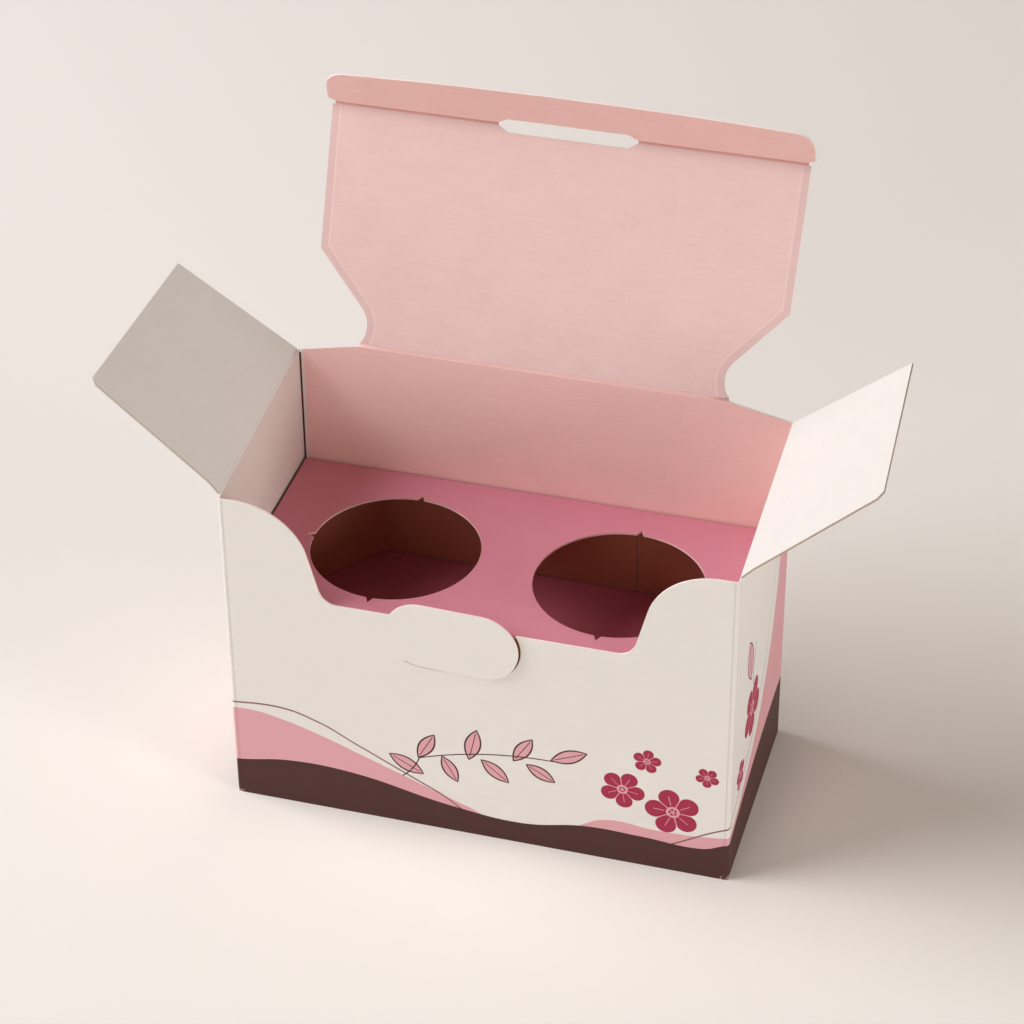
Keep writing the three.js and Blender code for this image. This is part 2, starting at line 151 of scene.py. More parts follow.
# %% Colours
def screen_colour(red, green, blue):
    def linear(value):
        share = value / 255
        return share / 12.92 if share <= 0.04045 else ((share + 0.055) / 1.055) ** 2.4

    return (linear(red), linear(green), linear(blue), 1)


WHITE = screen_colour(231, 226, 220)
INSIDE_WHITE = screen_colour(231, 225, 218)
# The walls' inner faces: a darker copy of the inside white, as painted shade
SHADED_INNER_WALL_WHITE = screen_colour(222, 210, 202)
PINK = screen_colour(230, 195, 190)
TUCK_PINK = screen_colour(235, 191, 185)
# A darker copy of the inside pink, painted shade in the tuck flap's crease
SHADED_CREASE_PINK = screen_colour(205, 148, 142)
# The rear wall's pink is a paler copy of the lid's pink: painted light for the glow bounced off
# the insert
LIT_WALL_PINK = screen_colour(248, 202, 196)
DEEP_PINK = screen_colour(214, 136, 151)
# A deeper copy of the insert's pink, painted shade for the shelf under the holes
SHADED_SHELF_PINK = screen_colour(196, 98, 112)
KRAFT = screen_colour(178, 108, 84)
# The board's core, paler than the coated face: partly its own colour, partly a painted
# highlight on the cut edges
LIT_CORE = screen_colour(250, 234, 228)
# A darker copy of the board's core, painted shade on the dust flaps' cut edges
SHADED_CORE = screen_colour(178, 162, 148)
ROSE_CORE = screen_colour(247, 206, 203)
# Dark brown painted shade for the depth of the open seam
SEAM_SHADE = screen_colour(120, 58, 44)
BROWN_INK = screen_colour(76, 47, 43)
ROSE_INK = screen_colour(221, 164, 170)
MAUVE_INK = screen_colour(132, 88, 92)
BERRY_INK = screen_colour(164, 48, 76)
WORN = screen_colour(176, 150, 136)
print("outside white as light sees it:", [round(part, 3) for part in WHITE[:3]])

# %% [markdown]
# ## Board as a material
#
# Coated board is matt and nearly smooth. Close up it has a faint mottle where the
# fibres lie thicker, fine specks, and a low grain along the machine direction. Noise
# textures at three scales give this: broad for the mottle, fine for the specks and
# stretched for the grain. The bump is only a few hundredths of a millimetre deep.

# %% Starting a material, mixing colours and reading noise
def begin(name):
    material = bpy.data.materials.new(name)
    material.use_nodes = True
    tree = material.node_tree
    shader = tree.nodes["Principled BSDF"]
    return material, tree, shader


def mixed(tree, factor, first, second):
    node = tree.nodes.new("ShaderNodeMix")
    node.data_type = "RGBA"
    colours = [s for s in node.inputs if s.type == "RGBA"]
    tree.links.new(factor.socket, node.inputs[0])
    for socket, value in zip(colours, (first, second)):
        if isinstance(value, tuple):
            socket.default_value = value
        else:
            tree.links.new(value, socket)
    return next(s for s in node.outputs if s.type == "RGBA")


def noise(tree, scale, stretch=(1, 1, 1), detail=3.0):
    place = tree.nodes.new("ShaderNodeTexCoord")
    mapping = tree.nodes.new("ShaderNodeMapping")
    mapping.inputs["Scale"].default_value = stretch
    texture = tree.nodes.new("ShaderNodeTexNoise")
    texture.inputs["Scale"].default_value = scale
    texture.inputs["Detail"].default_value = detail
    tree.links.new(place.outputs["Object"], mapping.inputs["Vector"])
    tree.links.new(mapping.outputs["Vector"], texture.inputs["Vector"])
    return Amount(tree, texture.outputs[0])


# %% The finish that every board face shares
CLOUD_SCALE = 70
SPECK_SCALE = 1300
FIBRE_SCALE = 420
FIBRE_STRETCH = (0.25, 0.25, 2.2)
GRAIN_DEPTH = 0.05 * MM
SPECULAR = 0.22
# Each finish is its roughness, the strength of its mottle and the strength of its grain
COATED = (0.66, 0.035, 0.2)
PRINTED_INSIDE = (0.76, 0.08, 0.3)
UNCOATED = (0.82, 0.05, 0.3)
INSERT_TOP = (0.74, 0.07, 0.3)
KRAFT_FINISH = (0.88, 0.12, 0.45)
EDGE_FINISH = (0.9, 0.1, 0.5)
SEAM_SHADE_FINISH = (0.6, 0.12, 0.4)


def finish_board(tree, shader, colour, finish, extra=None):
    """Adds mottle, specks and grain to a colour and connects them to the shader."""
    roughness, mottle, grain = finish
    cloud = noise(tree, CLOUD_SCALE)
    specks = noise(tree, SPECK_SCALE, detail=2.0)
    fibres = noise(tree, FIBRE_SCALE, FIBRE_STRETCH)
    shade = (cloud - 0.5) * mottle + (specks - 0.5) * (mottle * 0.9) + (fibres - 0.5) * mottle
    multiply = tree.nodes.new("ShaderNodeVectorMath")
    multiply.operation = "SCALE"
    if isinstance(colour, tuple):
        multiply.inputs[0].default_value = colour[:3]
    else:
        tree.links.new(colour, multiply.inputs[0])
    tree.links.new((shade + 1).socket, multiply.inputs["Scale"])
    tree.links.new(multiply.outputs[0], shader.inputs["Base Color"])
    rough = (cloud - 0.5) * 0.12 + (specks - 0.5) * 0.1 + roughness
    tree.links.new(rough.socket, shader.inputs["Roughness"])
    shader.inputs["Specular IOR Level"].default_value = SPECULAR
    height = specks * 0.5 + fibres
    if extra is not None:
        height = height + extra
    bump = tree.nodes.new("ShaderNodeBump")
    bump.inputs["Strength"].default_value = grain
    bump.inputs["Distance"].default_value = GRAIN_DEPTH
    tree.links.new(height.socket, bump.inputs["Height"])
    tree.links.new(bump.outputs["Normal"], shader.inputs["Normal"])


# %% Plain board faces
def plain_board(name, colour, finish):
    material, tree, shader = begin(name)
    finish_board(tree, shader, colour, finish)
    return material


inside_white = plain_board("board_inside_white", INSIDE_WHITE, UNCOATED)
deep_pink = plain_board("board_deep_pink", DEEP_PINK, INSERT_TOP)
shaded_shelf_pink = plain_board("board_shelf_pink_painted_shade", SHADED_SHELF_PINK, INSERT_TOP)
kraft_back = plain_board("board_kraft_back", KRAFT, KRAFT_FINISH)
cut_edge = plain_board("board_cut_edge", LIT_CORE, EDGE_FINISH)
shaded_cut_edge = plain_board("board_cut_edge_painted_shade", SHADED_CORE, EDGE_FINISH)
rose_edge = plain_board("board_rose_cut_edge", ROSE_CORE, EDGE_FINISH)
seam_shade = plain_board("painted_shade_in_the_seam", SEAM_SHADE, SEAM_SHADE_FINISH)


# %% White board inside the walls
def inner_wall_board(name):
    """White board in painted shade, turning to a painted dark brown seam shade in the depth of
    the open seam.
    """
    material, tree, shader = begin(name)
    place = tree.nodes.new("ShaderNodeTexCoord")
    split = tree.nodes.new("ShaderNodeSeparateXYZ")
    tree.links.new(place.outputs["Object"], split.inputs[0])
    in_the_box = Amount(tree, split.outputs["Y"]).below(HALF_DEPTH - BOARD + NEAR)
    colour = mixed(tree, in_the_box, SEAM_SHADE, SHADED_INNER_WALL_WHITE)
    finish_board(tree, shader, colour, UNCOATED)
    return material


# The inner walls' white is painted shade, darker than the same board on the dust flaps
shaded_inner_wall_white = inner_wall_board("board_inner_wall_painted_shade")
print("board faces so far:", [material.name for material in bpy.data.materials])

# %% [markdown]
# ## Where ink lies
#
# The print is laid out on the flat sheet, so it needs a coordinate that runs round the
# box: along the front, round a corner and along the next wall. Each board carries a UV
# map named "sheet" with that distance and the height, in metres.

# %% Reading the sheet's coordinates
def sheet_place(tree):
    uv = tree.nodes.new("ShaderNodeUVMap")
    uv.uv_map = "sheet"
    split = tree.nodes.new("ShaderNodeSeparateXYZ")
    tree.links.new(uv.outputs["UV"], split.inputs[0])
    return Amount(tree, split.outputs["X"]), Amount(tree, split.outputs["Y"])


# %% [markdown]
# ## Waves round the foot of the box
#
# Two bands and a thin line roll round the foot of the carton. A wave could be a sum of
# sines, but a designer draws it by hand, so each is a curve through a few heights. A
# Float Curve node turns the distance round the box into the height of the ink. The
# distance is 0 in the middle of the front, and the sheet's two ends meet at the rear
# left corner, so each curve starts and ends at the same height.

# %% Wave heights, distance round the box and height in millimetres
ROUND_START = -165
ROUND_LENGTH = 500
TALLEST = 130
BROWN_WAVE = [
    (-165, 13), (-125, 11.5), (-85, 14.3), (-64, 17.8), (-47, 17.6), (-8, 10.5), (14, 8.6),
    (38, 12.4), (56, 12.2), (75, 11.5), (85, 15), (165, 25), (205, 20), (250, 11.5), (335, 13),
]
ROSE_WAVE = [
    (-165, 24), (-125, 30), (-85, 36.6), (-77, 36.8), (-69, 35.4), (-55, 31.3), (-42, 26.4),
    (-28, 21), (-4, 11.7), (14, 6), (32, 11), (46, 17), (60, 16), (85, 18), (112, 27),
    (135, 46), (150, 76), (165, 116), (180, 92), (205, 56), (245, 30), (290, 20), (335, 24),
]
LINE_WAVE = [
    (-165, 29), (-125, 34), (-85, 39), (-68, 40), (-56, 37), (-42, 30), (-14, 15.7), (10, 4),
    (40, 4), (85, 22), (112, 34), (128, 48), (143, 80), (152, 112), (165, 126), (190, 88),
    (215, 56), (250, 34), (290, 24), (335, 29),
]


def wave(tree, along, points):
    curve = tree.nodes.new("ShaderNodeFloatCurve")
    line = curve.mapping.curves[0]
    shares = [((x - ROUND_START) / ROUND_LENGTH, y / TALLEST) for x, y in points]
    line.points[0].location = shares[0]
    line.points[1].location = shares[-1]
    for share in shares[1:-1]:
        line.points.new(*share)
    curve.mapping.update()
    share = (along - ROUND_START * MM) / (ROUND_LENGTH * MM)
    tree.links.new(share.socket, curve.inputs["Value"])
    return Amount(tree, curve.outputs[0]) * (TALLEST * MM)


# %% [markdown]
# ## Leaves and blossoms
#
# A leaf is the space between two arcs: across its length the outline is a parabola, so
# one sum gives its fill and its drawn edge. A blossom is a circle whose radius swells
# and falls five times round the turn.

# %% Motif sums
LEAF_LINE = 0.3  # half the width of a drawn line, in millimetres
PETAL_GAP = 0.045  # half the bare line between petals, as a share of the radius
VEIN_WIDTH = 0.03
EYE_RADIUS = 0.2


def leaf(across, up, x, y, turn, length, width):
    """Returns the fill of a leaf, and the line drawn round it and down its middle."""
    cosine, sine = math.cos(math.radians(turn)), math.sin(math.radians(turn))
    dx, dy = across - x * MM, up - y * MM
    run = (dx * cosine + dy * sine) / (length * MM / 2)
    side = (dy * cosine - dx * sine) / (width * MM / 2)
    edge = run * run + side.size()
    stroke = (edge - 1).size().below(2 * LEAF_LINE / width)
    rib = side.size().below(LEAF_LINE / width) * run.size().below(0.8)
    return edge.below(1), stroke.larger(rib)


def stem(across, up, start, end, bow, thickness=0.45):
    """A drawn line from start to end that bows sideways in the middle."""
    dx, dy = end[0] - start[0], end[1] - start[1]
    length = math.hypot(dx, dy)
    px, py = across - start[0] * MM, up - start[1] * MM
    run = (px * (dx / length) + py * (dy / length)) / (length * MM)
    side = (py * (dx / length) - px * (dy / length)) / MM
    arc = (run - run * run) * (4 * bow)
    inside = (run - 0.5).size().below(0.5)
    return (side - arc).size().below(thickness / 2) * inside


def blossom(across, up, x, y, radius, turn):
    """Returns the petals, and the pale lines and eye that are left free of ink."""
    dx, dy = across - x * MM, up - y * MM
    far = (dx * dx + dy * dy).math("SQRT") / (radius * MM)
    angle = dy.math("ARCTAN2", dx) + math.radians(turn)
    across_petal = (angle * 2.5).math("COSINE").size()
    petals = far.below(across_petal.math("SQRT") * 0.5 + 0.5)
    between = (across_petal * far).below(PETAL_GAP)
    off_middle = (angle * 2.5).math("SINE").size() * far
    vein = off_middle.below(VEIN_WIDTH) * (far - 0.5).size().below(0.2)
    eye = (far - EYE_RADIUS).size().below(PETAL_GAP)
    return petals, union([between, vein, eye])


# %% The layout of the sprig and the blossoms, in millimetres and degrees on the sheet
LEAVES = [
    (-24.5, 25.5, 152, 13, 5.2), (-17.5, 34.5, 62, 12, 4.8), (-9.5, 26.5, -62, 11, 4.6),
    (-1.5, 38.5, 78, 13, 5.2), (6.0, 29.0, -40, 12, 4.8), (15.5, 40.0, 58, 12, 4.8),
    (21.5, 31.5, -30, 11, 4.4), (31.0, 40.5, 24, 13, 5.0), (108.0, 74.0, 105, 19, 8.0),
]
STEMS = [
    ((-20, 29), (26, 37.5), 2.2), ((-20, 29), (-26, 20), 0.8), ((114, 60), (116, 76), 1.2),
]
BLOSSOMS = [
    (49, 31, 7.6, 10), (66, 25, 9.4, 40), (57, 44.5, 4.8, 62), (77, 42, 4.0, 20),
    (114, 50, 11.0, 15), (99, 34, 5.6, 50), (-118, 40, 7.0, 0), (-133, 47, 4.6, 30),
    (228, 66, 8.4, 12), (246, 54, 5.2, 48), (262, 66, 6.4, 80),
]

# %% [markdown]
# ## Printed outside
#
# The outside of the box is white board with the inks laid over each other from back to
# front: rose band, thin line, brown band, then the sprig and blossoms. A faint pressed
# line runs beside each front corner, darkened by painted shade of the fold, and the ink
# is rubbed off in specks at its foot.

# %% Printed material
# The pressed line is real in the bump; its darker colour is painted shade of the fold
SCORE_PLACE = 1.5 * MM  # pressed line beside a corner fold
SCORE_HALF_WIDTH = 0.3 * MM
SCORE_SHADE_TONE = 0.16  # how much darker the pressed line is
PRESSED_DEPTH = 2.0  # of a pressed line, against the height of the grain
LINE_HALF_WIDTH = 0.32 * MM  # the thin line that follows the bands
RUBBED_HEIGHT = 1.6 * MM  # worn patch at the foot of a corner
RUBBED_REACH = 2.6 * MM
RUB_SCALE = 900
RUB_SHARE = 0.44


def printed_board(name):
    material, tree, shader = begin(name)
    across, up = sheet_place(tree)
    brown = up.below(wave(tree, across, BROWN_WAVE))
    rose = up.below(wave(tree, across, ROSE_WAVE))
    line = (up - wave(tree, across, LINE_WAVE)).size().below(LINE_HALF_WIDTH)
    drawn = [leaf(across, up, *spot) for spot in LEAVES]
    leaf_fill = union([fill for fill, stroke in drawn])
    strokes = union([stroke for fill, stroke in drawn] + [stem(across, up, *s) for s in STEMS])
    flowers = [blossom(across, up, *spot) for spot in BLOSSOMS]
    petals = union([petal for petal, free in flowers])
    petal_lines = union([petal * free for petal, free in flowers])
    colour = mixed(tree, rose, WHITE, ROSE_INK)
    colour = mixed(tree, line, colour, MAUVE_INK)
    colour = mixed(tree, leaf_fill, colour, ROSE_INK)
    colour = mixed(tree, strokes, colour, BROWN_INK)
    colour = mixed(tree, brown, colour, BROWN_INK)
    colour = mixed(tree, petals, colour, BERRY_INK)
    colour = mixed(tree, petal_lines, colour, ROSE_INK)
    # Painted shade: brown ink darkens the pressed line beside each corner
    to_corner = (across.size() - HALF_WIDTH).size()
    score = (to_corner - SCORE_PLACE).size().below(SCORE_HALF_WIDTH)
    colour = mixed(tree, score * SCORE_SHADE_TONE, colour, BROWN_INK)
    rubbed = up.below(RUBBED_HEIGHT) * to_corner.below(RUBBED_REACH)
    specks = (noise(tree, RUB_SCALE) * -1 + 1).below(RUB_SHARE)
    colour = mixed(tree, rubbed * specks, colour, WORN)
    finish_board(tree, shader, colour, COATED, extra=score * -PRESSED_DEPTH)
    return material


printed = printed_board("board_printed_outside")
plain_outside = plain_board("board_plain_outside", WHITE, COATED)
print("nodes in the printed material:", len(printed.node_tree.nodes))

# %% [markdown]
# ## Pink inside
#
# The lid, the tuck flap and the rear wall are printed pink on the inside. On the lid a
# pressed line follows the side edges a few millimetres in, with a slightly deeper pink
# outside it, and a painted shade darkens the pink towards the tuck flap's crease. The
# line's distance from the outline is worked out from the outline's own shapes: a straight
# edge, a diagonal and the round relief beside the crease.

# %% Pink inside, with the pressed margin line on the lid
MARGIN = 2.7 * MM
MARGIN_LINE_HALF_WIDTH = 0.22 * MM
CREASE_SHADE_REACH = 5.0 * MM  # how far the shade of the tuck flap's crease reaches down the lid
# Where the rear wall's print stops, as a distance round the box
WALL_MARGIN_START = 2 * HALF_WIDTH + 2 * HALF_DEPTH + 82.7 * MM
NECK = Vector((70.13, 6.2)) * MM
NECK_RADIUS = 9.3 * MM
LID_CORNER = Vector((79.4, 30.4)) * MM
LID_FRONT_EDGE = 80.2 * MM
# Shares of the pink for the border and the line, the painted shade at the crease, and how far
# that shade is mixed in
BORDER_TONE = 0.93
LINE_TONE = 1.1
CREASE_SHADE_TONE = 0.62
CREASE_SHADE_MIX = 0.75


def toned(colour, share):
    """The same colour, paler above a share of 1 and deeper below it."""
    return tuple(min(1.0, part * share) for part in colour[:3]) + (1,)


def pink_lid_board(name, colour):
    material, tree, shader = begin(name)
    across, up = sheet_place(tree)
    out = across.size()
    lean = (LID_FRONT_EDGE - LID_CORNER.x) / (LID_LENGTH - LID_CORNER.y)
    to_side = (up - LID_CORNER.y) * lean + LID_CORNER.x - out
    reach = LID_CORNER - NECK
    touch_turn = math.atan2(reach.y, reach.x) + math.acos(NECK_RADIUS / reach.length)
    normal = Vector((math.cos(touch_turn), math.sin(touch_turn)))
    dx, dy = out - NECK.x, up - NECK.y
    to_diagonal = dx * normal.x + dy * normal.y - NECK_RADIUS
    to_neck = (dx * dx + dy * dy).math("SQRT") - NECK_RADIUS
    past_touch = (dx * normal.y - dy * normal.x).below(0.0)
    nearest = to_diagonal + (to_neck - to_diagonal) * past_touch
    distance = to_side.smaller(nearest)
    line = (distance - MARGIN).size().below(MARGIN_LINE_HALF_WIDTH)
    border = distance.below(MARGIN)
    shade = mixed(tree, border, colour, toned(colour, BORDER_TONE))
    shade = mixed(tree, line, shade, toned(colour, LINE_TONE))
    # Painted shade darkens the print towards the tuck flap's crease, where the tuck flap shades
    # the lid
    rise = ((up - (LID_LENGTH - CREASE_SHADE_REACH)) / CREASE_SHADE_REACH).larger(0.0).smaller(1.0)
    shade = mixed(tree, rise * rise * CREASE_SHADE_MIX, shade, toned(colour, CREASE_SHADE_TONE))
    finish_board(tree, shader, shade, PRINTED_INSIDE, extra=line * -PRESSED_DEPTH)
    return material


def pink_wall_board(name, colour):
    """The rear wall: its print stops short of the open seam."""
    material, tree, shader = begin(name)
    across = sheet_place(tree)[0]
    bare = (across * -1 + WALL_MARGIN_START).below(0.0)
    shade = mixed(tree, bare, colour, INSIDE_WHITE)
    finish_board(tree, shader, shade, PRINTED_INSIDE)
    return material


pink = plain_board("board_pink_inside", TUCK_PINK, PRINTED_INSIDE)
pink_crease_shade = plain_board("board_pink_crease_painted_shade", SHADED_CREASE_PINK, PRINTED_INSIDE)
pink_lid = pink_lid_board("board_pink_lid", PINK)
# The rear wall's paler pink is painted light
pink_wall = pink_wall_board("board_pink_rear_wall", LIT_WALL_PINK)
print("pink faces:", [face.name for face in (pink, pink_crease_shade, pink_lid, pink_wall)])

# %% [markdown]
# ## Boards from the CAD sheets
#
# Each CAD sheet is copied, its loose triangles are merged into whole faces, and each
# face gets its own finish: outside, inside or cut edge. A die-cut edge is never knife
# sharp, so the long edges are bevelled a tenth of a millimetre. Bevelling by hand would
# mean picking edges one by one, so the angle between two faces picks them.

# %% Copying a sheet
MERGE_DISTANCE = 0.002 * MM
FLAT_ANGLE = math.radians(0.8)  # faces that turn less than this are one face
EDGE_ANGLE = math.radians(50)  # faces that turn more than this meet in a cut edge


def merged_copy(node):
    shape = bmesh.new()
    shape.from_mesh(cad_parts[node].data)
    bmesh.ops.remove_doubles(shape, verts=shape.verts, dist=MERGE_DISTANCE)
    bmesh.ops.dissolve_limit(
        shape, angle_limit=FLAT_ANGLE, verts=shape.verts, edges=shape.edges,
        use_dissolve_boundaries=False, delimit=set(),
    )
    shape.normal_update()
    return shape


def soften(shape, amount, chosen=None):
    sharp = [
        edge for edge in shape.edges
        if len(edge.link_faces) == 2 and edge.calc_face_angle(0) > EDGE_ANGLE
        and (chosen is None or chosen(edge))
    ]
    bmesh.ops.bevel(
        shape, geom=sharp, offset=amount, offset_type="OFFSET", affect="EDGES",
        segments=2, profile=0.5, material=-1, clamp_overlap=True,
    )
    shape.normal_update()


# %% Finishing a sheet
def board(name, shape, body, node, materials, finish_of, sheet_of):
    """Makes a finished board that stands for a CAD node."""
    sheet = shape.loops.layers.uv.new("sheet")
    for face in shape.faces:
        face.material_index = materials.index(finish_of(face))
        face.smooth = materials[face.material_index] in (cut_edge, shaded_cut_edge, rose_edge)
        for loop in face.loops:
            loop[sheet].uv = sheet_of(loop.vert.co, face)
    mesh = bpy.data.meshes.new(name)
    shape.to_mesh(mesh)
    shape.free()
    for material in materials:
        mesh.materials.append(material)
    piece = bpy.data.objects.new(name, mesh)
    bpy.context.scene.collection.objects.link(piece)
    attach(piece, body)
    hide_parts(node)
    print(name, "has", len(mesh.polygons), "faces")


# %% [markdown]
# ## The carton body
#
# Walls, base and glue tab are one folded sheet. A face belongs to the outside where it
# points away from the box and lies on the outline, to the inside where it lies one
# board thickness further in, and everything else is a cut edge. Only the rear wall is
# pink inside, and the inside white of the other walls is a darker copy, as painted shade.
# Beside the left wall its cut edge is bare, and the open seam behind it is painted dark
# brown as the shade in its depth.

# %% Distance round the box
def round_the_box(point, face):
    normal = face.normal
    if abs(normal.x) > abs(normal.y):
        if point.x > 0:
            return (HALF_WIDTH + point.y + HALF_DEPTH, point.z)
        return (-HALF_WIDTH - point.y - HALF_DEPTH, point.z)
    if point.y > 0:
        return (2 * HALF_WIDTH + 2 * HALF_DEPTH - point.x, point.z)
    return (point.x, point.z)


# %% Which finish a face of the body has
SEAM_SIDE = -83.6 * MM  # cut edge of the rear wall beside the left wall


def body_finish(face):
    centre, normal = face.calc_center_median(), face.normal
    if abs(normal.z) > 0.5:
        if centre.z < NEAR:
            return plain_outside
        return shaded_inner_wall_white if centre.z < 4 * BOARD else cut_edge
    along_front = centre.y < -HALF_DEPTH + 2 * BOARD and abs(centre.x) < HALF_WIDTH - 2 * BOARD
    if along_front and abs(normal.y) < FACING:
        return cut_edge
    if along_front:
        return printed if normal.y < 0 else shaded_inner_wall_white
    in_rear_wall = centre.y > HALF_DEPTH - 2 * BOARD
    between_corners = SEAM_SIDE - NEAR < centre.x < HALF_WIDTH - 2 * BOARD
    if in_rear_wall and between_corners and abs(normal.y) < FACING:
        return cut_edge
    # The tab's face in the open seam is painted dark brown as the seam's shade
    if normal.y < -FACING and centre.y > HALF_DEPTH - NEAR:
        return seam_shade
    outward = normal.x * centre.x / HALF_WIDTH + normal.y * centre.y / HALF_DEPTH > 0
    skin = BOARD / 2 + NEAR
    if outward and (abs(centre.x) > HALF_WIDTH - skin or abs(centre.y) > HALF_DEPTH - skin):
        return printed
    if not outward and in_rear_wall and abs(normal.y) > FACING:
        return pink_wall
    return shaded_inner_wall_white


# %% Carton body
FOOT_SOFTNESS = 0.75 * MM  # the base's folds are rounder than a cut edge
OUTLINE_SHARE = 0.985  # of the way from the middle of the box to its outline


def on_the_foot(edge):
    return all(
        point.co.z < NEAR
        and max(abs(point.co.x) / HALF_WIDTH, abs(point.co.y) / HALF_DEPTH) > OUTLINE_SHARE
        for point in edge.verts
    )


def above_the_base(edge):
    return all(point.co.z > 3 * BOARD for point in edge.verts)


body_shape = merged_copy("carton_body")
soften(body_shape, FOOT_SOFTNESS, on_the_foot)
soften(body_shape, RIM_SOFTNESS, above_the_base)
board(
    "carton_walls", body_shape, "carton", "carton_body",
    [printed, plain_outside, shaded_inner_wall_white, pink_wall, cut_edge, seam_shade],
    body_finish, round_the_box,
)

# %% [markdown]
# ## Lid, tuck flap and dust flaps
#
# These are flat sheets, each with a normal of its own that tells inside from outside.
# On the lid, the sheet coordinate runs across and up from the crease.

# %% Faces and coordinates of a flat sheet
def flat_finish(inward, inner, outer, edge=cut_edge):
    def finish_of(face):
        lean = face.normal.dot(inward)
        if abs(lean) < FACING:
            return edge
        return inner if lean > 0 else outer

    return finish_of


def lid_direction(angle):
    return Vector((0, math.cos(angle), math.sin(angle)))


def sheet_from(origin, direction):
    return lambda point, face: (point.x, (point - origin).dot(direction))


# %% Lid and tuck flap
LID_AXIS = Vector((0, HALF_DEPTH - BOARD / 2, LID_CREASE_HEIGHT + CREASE_LIFT))
TUCK_AXIS = LID_AXIS + lid_direction(LID_ANGLE) * LID_LENGTH
lid_inward = Vector((0, -math.sin(LID_ANGLE), math.cos(LID_ANGLE)))
tuck_turn = LID_ANGLE + TUCK_ANGLE
tuck_inward = Vector((0, -math.sin(tuck_turn), math.cos(tuck_turn)))

lid_shape = merged_copy("lid_panel")
soften(lid_shape, RIM_SOFTNESS)
board(
    "lid_board", lid_shape, "lid", "lid_panel",
    [pink_lid, plain_outside, cut_edge], flat_finish(lid_inward, pink_lid, plain_outside),
    sheet_from(LID_AXIS, lid_direction(LID_ANGLE)),
)
tuck_shape = merged_copy("tuck_flap")
soften(tuck_shape, RIM_SOFTNESS)
board(
    "tuck_board", tuck_shape, "tuck", "tuck_flap",
    [pink, plain_outside, cut_edge], flat_finish(tuck_inward, pink, plain_outside),
    sheet_from(TUCK_AXIS, lid_direction(tuck_turn)),
)

# %% Dust flaps
for side, hand in (("left", -1), ("right", 1)):
    angle = FLAP_ANGLES[side]
    inward = Vector((-hand * math.sin(angle), 0, math.cos(angle)))
    flap_shape = merged_copy(side + "_dust_flap")
    soften(flap_shape, RIM_SOFTNESS)
    board(
        # The dust flaps' cut edges take the darker core, as painted shade
        side + "_dust_board", flap_shape, side + "_flap", side + "_dust_flap",
        [inside_white, plain_outside, shaded_cut_edge],
        flat_finish(inward, inside_white, plain_outside, shaded_cut_edge),
        lambda point, face: (point.x, point.y),
    )

# %% [markdown]
# ## Insert and shelf
#
# Both are sheets folded down on all sides. Only their tops are printed deep pink: the legs
# are bare kraft board on both faces. The shelf's top is a deeper copy of the pink, as
# painted shade under the holes. Round the holes the cut shows the board's core, tinted by
# the ink.

# %% Insert and shelf
INSERT_HALF_WIDTH = 83.3 * MM
INSERT_HALF_DEPTH = 39.0 * MM
PLATFORM_HEIGHT = 85.5 * MM
SHELF_HEIGHT = 51.5 * MM


def insert_finish(top, face_pink):
    def finish_of(face):
        centre, normal = face.calc_center_median(), face.normal
        if normal.z > 0.3 and centre.z > top - 2 * BOARD:
            return face_pink
        if normal.z < -0.3:
            return kraft_back if centre.z > top - 2 * BOARD else rose_edge
        in_hole = abs(centre.z - (top - BOARD / 2)) < NEAR
        off_ends = abs(centre.x) < INSERT_HALF_WIDTH - BOARD
        off_sides = abs(centre.y) < INSERT_HALF_DEPTH - BOARD
        if in_hole and off_ends and off_sides:
            return rose_edge
        return kraft_back

    return finish_of


def round_the_platform(edge):
    return all(point.co.z > PLATFORM_HEIGHT - 2 * BOARD for point in edge.verts)


for node, name, top, face_pink in (
    ("insert_platform", "insert_board_with_holes", PLATFORM_HEIGHT, deep_pink),
    ("cup_shelf", "shelf_board", SHELF_HEIGHT, shaded_shelf_pink),
):
    insert_shape = merged_copy(node)
    soften(insert_shape, RIM_SOFTNESS, round_the_platform)
    board(
        name, insert_shape, "carton", node,
        [face_pink, kraft_back, rose_edge], insert_finish(top, face_pink),
        lambda point, face: (point.x, point.y),
    )

# %% [markdown]
# ## Creases
#
# A carton is one sheet, so a lid or flap is joined to its wall by a crease: a line where
# the board is pressed thin and bends. Each crease is a narrow strip that starts inside
# the wall's top edge and ends inside the flap, with a Solidify modifier for its
# thickness and its two faces.

# %% How a crease strip is made
CREASE_BOARD = 0.58 * MM
CREASE_STEP = 8 * MM  # length of one face along the crease
CREASE_ROWS = 8
CREASE_SWELL = 0.12 * MM  # how far the bend stands out of the straight line
HIDDEN = 0.25 * MM  # how far a strip runs into the sheets that it joins
LID_SETBACK = 0.45 * MM  # crease line to the edge of the lid
TUCK_SETBACK = 0.6 * MM
DUST_FLAP_SETBACK = 0.3 * MM


